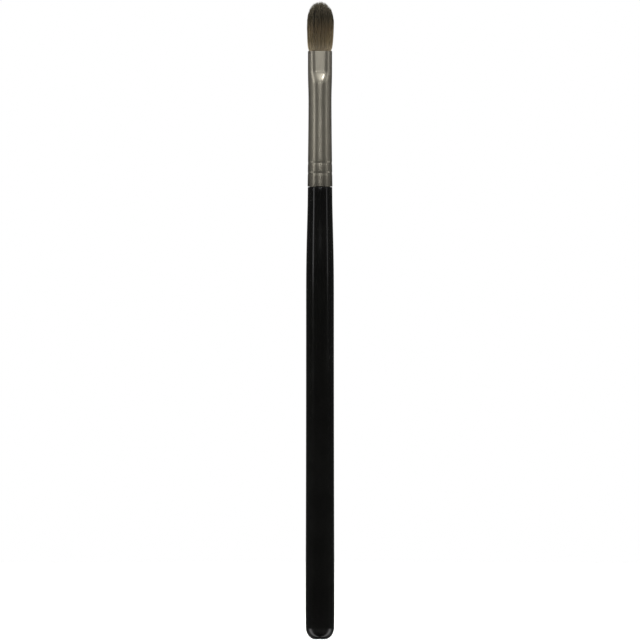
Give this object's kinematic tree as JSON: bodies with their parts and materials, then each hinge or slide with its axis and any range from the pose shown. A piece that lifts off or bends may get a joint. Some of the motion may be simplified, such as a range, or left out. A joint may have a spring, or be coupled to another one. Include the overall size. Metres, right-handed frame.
{
  "type": "makeup brush",
  "caption": "Long-handled eye and lip makeup brush: slim lacquered wooden handle, plated ferrule pressed flat at its mouth, and a domed tuft of natural hair.",
  "frame": {"origin": "centre of the small flat at the handle's butt end", "axes": "+Z along the handle towards the tip of the hair; -Y out of one of the two flat sides that the ferrule is pressed to, so X runs along the wide way of the mouth"},
  "size_m": [0.0078, 0.0078, 0.1749],
  "materials": {
    "handle": "gloss",
    "ferrule": "satin",
    "hair_tuft": "satin",
    "root_binding": "matte",
    "root_resin": "gloss",
    "tenon_glue": "satin"
  },
  "bodies": {
    "root": {"handle": "handle", "ferrule": "ferrule", "hair_tuft": "hair_tuft", "root_binding": "root_binding", "root_resin": "root_resin", "tenon_glue": "tenon_glue"}
  },
  "joints": []
}
